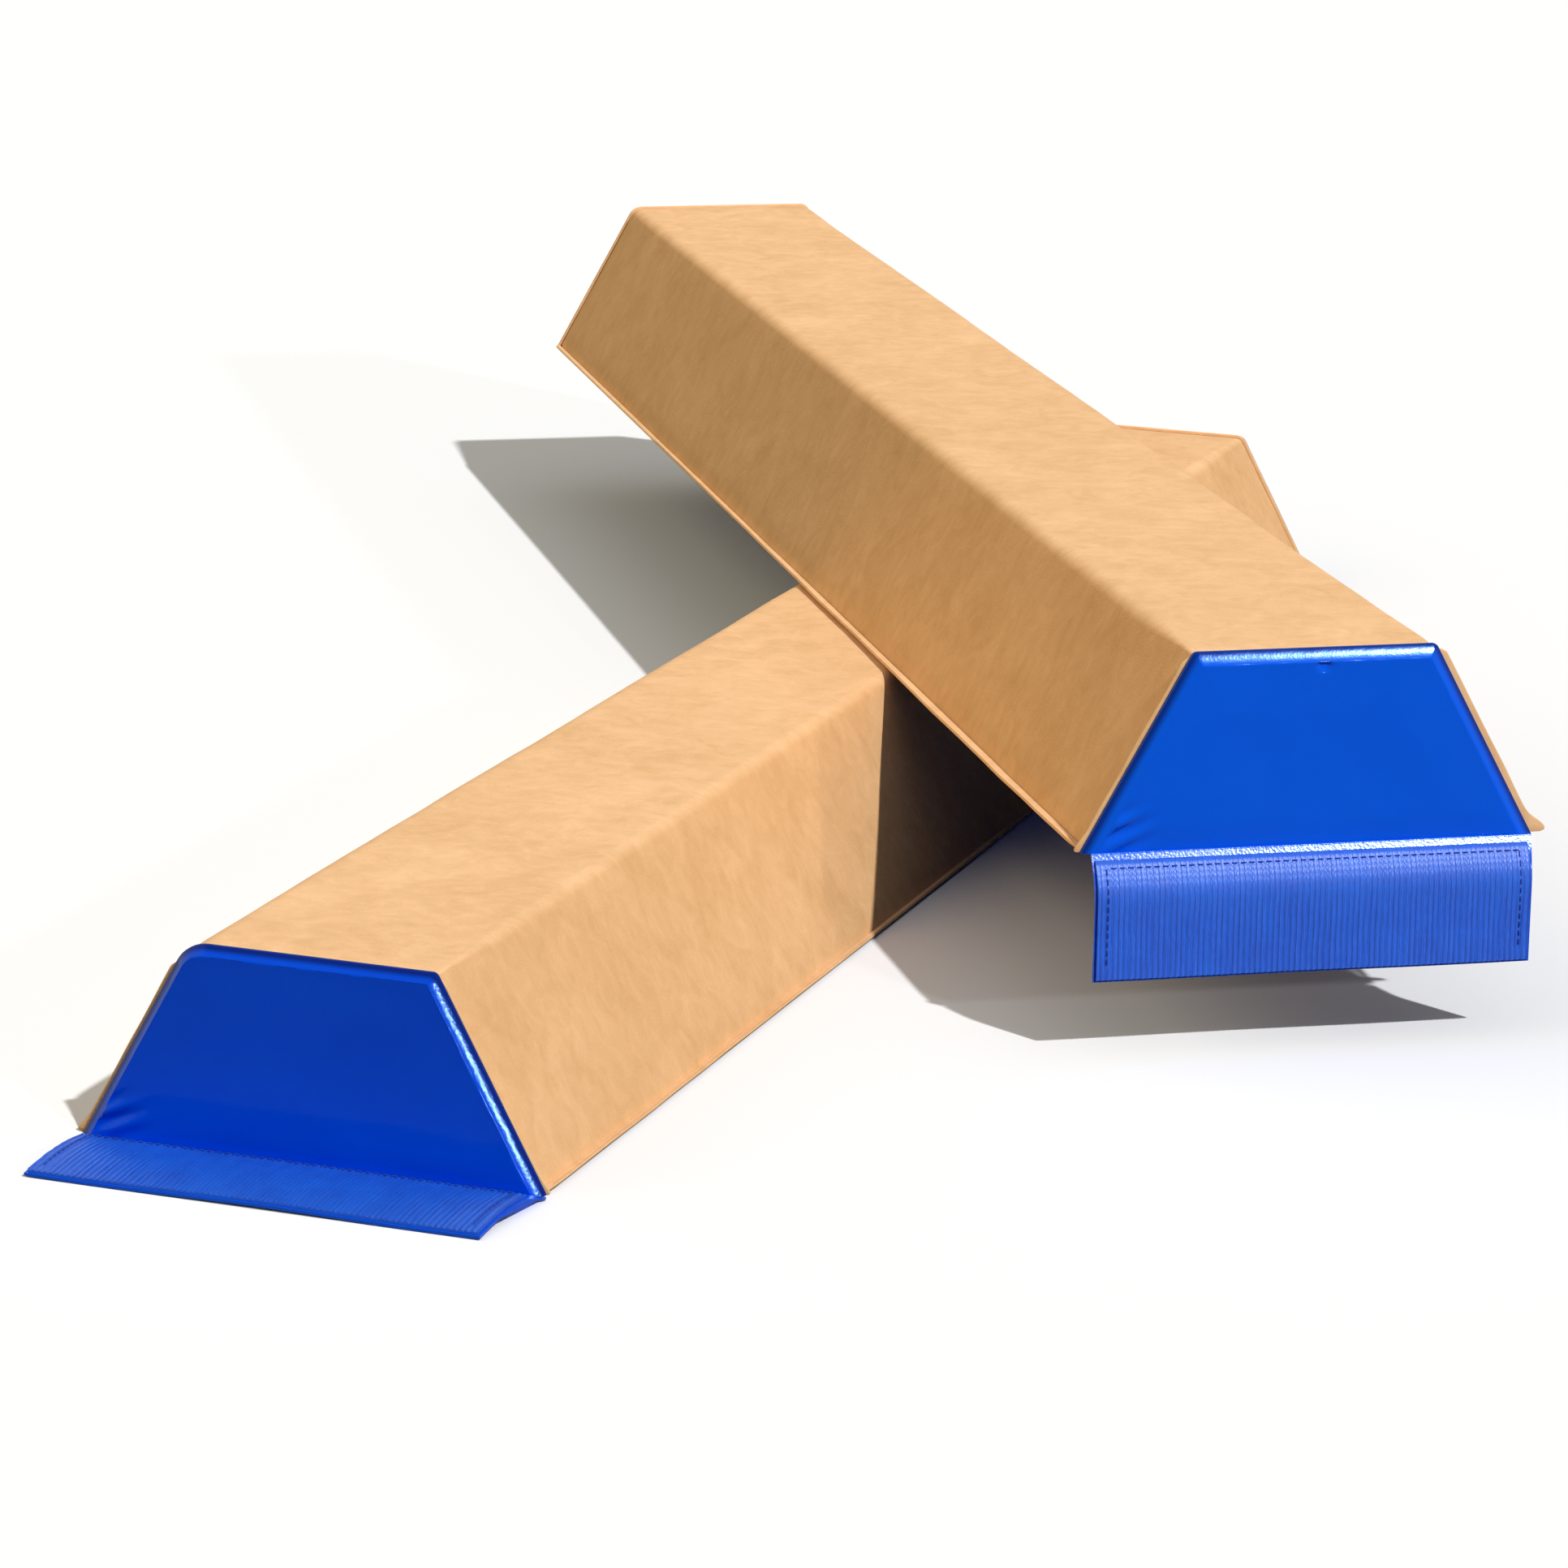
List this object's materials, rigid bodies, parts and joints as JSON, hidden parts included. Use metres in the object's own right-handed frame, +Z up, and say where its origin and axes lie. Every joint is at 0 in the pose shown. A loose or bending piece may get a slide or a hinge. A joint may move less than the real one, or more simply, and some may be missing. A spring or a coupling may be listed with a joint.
{
  "type": "floor balance beam",
  "caption": "Low foam floor balance beam in sections with sloped sides, tan suede cover, blue vinyl ends and hook-and-loop flaps that join them; one section lies across the other",
  "frame": {"origin": "middle of the lower section's base, on the floor", "axes": "+X along the lower section from its flap end to its other end, +Y to the left of that, +Z up"},
  "size_m": [1.3378, 0.7642, 0.1628],
  "materials": {
    "suede": "brushed camel-tan synthetic suede, matte",
    "vinyl": "royal-blue coated vinyl, glossy",
    "hook_tape": "blue hook tape with fine ribs, hazy",
    "loop_tape": "blue loop tape, fuzzy",
    "foam": "off-white closed-cell foam",
    "zip_tape": "blue woven zip tape",
    "zip_coil": "blue moulded zip coil",
    "zip_metal": "blue enamelled metal"
  },
  "bodies": {
    "lower_section": {"lower_foam_base_layer": "foam", "lower_foam_top_layer": "foam", "lower_suede_cover": "suede", "lower_front_end_cap": "vinyl", "lower_back_end_cap": "vinyl", "lower_front_seam_lip": "suede", "lower_back_seam_lip": "suede", "lower_left_base_welt": "suede", "lower_right_base_welt": "suede", "lower_base_panel": "vinyl", "lower_base_strip": "vinyl", "lower_zip_tape_inner": "zip_tape", "lower_zip_tape_outer": "zip_tape", "lower_zip_chain": "zip_coil", "lower_loop_tape": "loop_tape"},
    "lower_flap": {"lower_flap": "vinyl", "lower_flap_hook_tape": "hook_tape"},
    "lower_zip_slider": {"lower_zip_slider": "zip_metal"},
    "lower_zip_pull": {"lower_zip_pull": "zip_metal"},
    "upper_section": {"upper_foam_base_layer": "foam", "upper_foam_top_layer": "foam", "upper_suede_cover": "suede", "upper_front_end_cap": "vinyl", "upper_back_end_cap": "vinyl", "upper_front_seam_lip": "suede", "upper_back_seam_lip": "suede", "upper_left_base_welt": "suede", "upper_right_base_welt": "suede", "upper_base_panel": "vinyl", "upper_base_strip": "vinyl", "upper_zip_tape_inner": "zip_tape", "upper_zip_tape_outer": "zip_tape", "upper_zip_chain": "zip_coil", "upper_loop_tape": "loop_tape"},
    "upper_flap": {"upper_flap": "vinyl", "upper_flap_hook_tape": "hook_tape"},
    "upper_zip_slider": {"upper_zip_slider": "zip_metal"},
    "upper_zip_pull": {"upper_zip_pull": "zip_metal"}
  },
  "joints": [
    {"name": "upper_section_lift", "type": "slide", "parent": "lower_section", "child": "upper_section", "axis": [0, 0, 1], "range_m": [0, 0.3]},
    {"name": "lower_flap_hinge", "type": "hinge", "parent": "lower_section", "child": "lower_flap", "pos_m": [-0.5559, 0, 0.0009], "axis": [0, 1, 0], "range_deg": [0, 60]},
    {"name": "lower_zip_slide", "type": "slide", "parent": "lower_section", "child": "lower_zip_slider", "axis": [1, 0, 0], "range_m": [-0.98, 0]},
    {"name": "lower_zip_pull_hinge", "type": "hinge", "parent": "lower_zip_slider", "child": "lower_zip_pull", "pos_m": [0.4713, 0.045, 0.0007], "axis": [0, 1, 0], "range_deg": [-112, 0]},
    {"name": "upper_flap_hinge", "type": "hinge", "parent": "upper_section", "child": "upper_flap", "pos_m": [-0.24999, -0.30358, 0.0824], "axis": [-0.5461, 0.8377, 0], "range_deg": [-15, 150]},
    {"name": "upper_zip_slide", "type": "slide", "parent": "upper_section", "child": "upper_zip_slider", "axis": [0.8377, 0.5461, 0], "range_m": [-0.98, 0]},
    {"name": "upper_zip_pull_hinge", "type": "hinge", "parent": "upper_zip_slider", "child": "upper_zip_pull", "pos_m": [0.58594, 0.29507, 0.0822], "axis": [-0.5461, 0.8377, 0], "range_deg": [-112, 0]}
  ]
}
